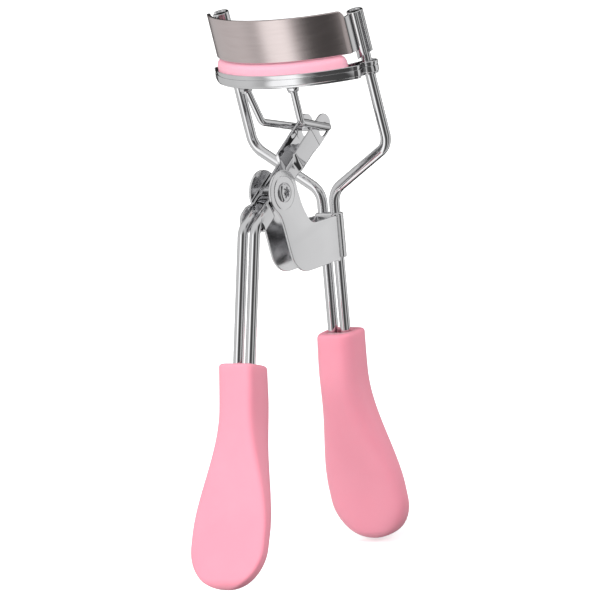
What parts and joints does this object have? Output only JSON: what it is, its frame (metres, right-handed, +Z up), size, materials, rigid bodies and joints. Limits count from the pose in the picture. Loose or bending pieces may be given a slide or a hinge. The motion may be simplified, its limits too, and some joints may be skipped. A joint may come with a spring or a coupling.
{
  "type": "eyelash curler",
  "caption": "Scissor-action eyelash curler with a curved upper plate, a sliding lower jaw with a soft pad, and two paddle grips.",
  "frame": {"origin": "centre of the box around the closed tool", "axes": "+Z up along the guide wires towards the jaws, +X across the jaws, along the pivot rivet, -Y towards the lever's handle"},
  "size_m": [0.036, 0.0634, 0.1074],
  "materials": {
    "rose_steel": "satin steel with a faint rose tint",
    "plated_steel": "bright nickel or chrome plating",
    "soft_grip": "pink soft-touch coating",
    "pad_silicone": "pale pink silicone"
  },
  "bodies": {
    "frame": {"upper_plate": "rose_steel", "guide_post_left": "plated_steel", "guide_post_right": "plated_steel", "frame_wire_left": "plated_steel", "frame_wire_right": "plated_steel", "pivot_bracket": "plated_steel", "pivot_rivet": "plated_steel", "frame_grip": "soft_grip"},
    "lever": {"lever_channel": "plated_steel", "lever_wire_left": "plated_steel", "lever_wire_right": "plated_steel", "lever_grip": "soft_grip"},
    "lower_jaw": {"jaw_carrier": "plated_steel", "lash_pad": "pad_silicone", "link_wire": "plated_steel", "link_collar_left": "plated_steel", "link_collar_right": "plated_steel"}
  },
  "joints": [
    {"name": "lever_pivot", "type": "hinge", "parent": "frame", "child": "lever", "pos_m": [0, 0.01216, 0.02055], "axis": [1, 0, 0], "range_deg": [-24, 0]},
    {"name": "jaw_slide", "type": "slide", "parent": "frame", "child": "lower_jaw", "axis": [0, 0, 1], "range_m": [-0.0077, 0]}
  ],
  "couplings": [
    {"joint": "jaw_slide", "follows": "lever_pivot", "m_per_rad": 0.018}
  ]
}
